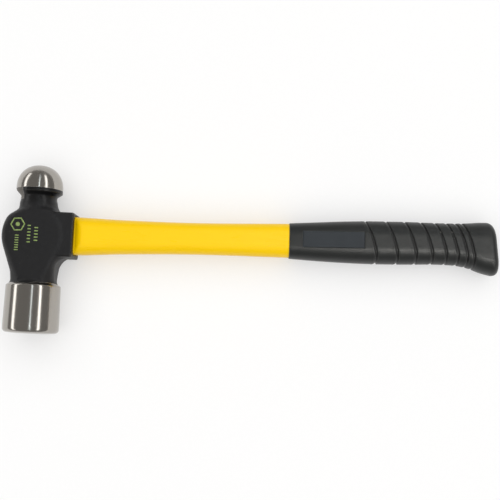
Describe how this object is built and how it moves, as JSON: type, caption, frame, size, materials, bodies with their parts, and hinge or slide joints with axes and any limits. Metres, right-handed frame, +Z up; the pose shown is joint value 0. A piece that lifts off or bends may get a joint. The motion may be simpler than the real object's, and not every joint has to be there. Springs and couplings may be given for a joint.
{
  "type": "ball peen hammer",
  "caption": "Ball peen hammer with a forged steel head, polished ball and striking face, yellow fibreglass handle and black ringed rubber grip.",
  "frame": {"origin": "on the plane that the poll rests on when the hammer lies on its cheek, under the middle of the overall box", "axes": "+X along the handle from the head to the butt, +Y along the head from the striking face to the ball, +Z up, square to the cheeks"},
  "size_m": [0.394, 0.135, 0.0442],
  "materials": {
    "painted_steel": "satin",
    "fibreglass": "satin",
    "epoxy_resin": "gloss",
    "seal_foam": "matte",
    "yellow_plastic": "satin",
    "grip_rubber": "satin",
    "panel_plastic": "satin"
  },
  "bodies": {
    "root": {"head": "painted_steel", "handle_core": "fibreglass", "eye_epoxy": "epoxy_resin", "eye_seal": "seal_foam", "handle_jacket": "yellow_plastic", "grip": "grip_rubber", "grip_panel": "panel_plastic"}
  },
  "joints": []
}
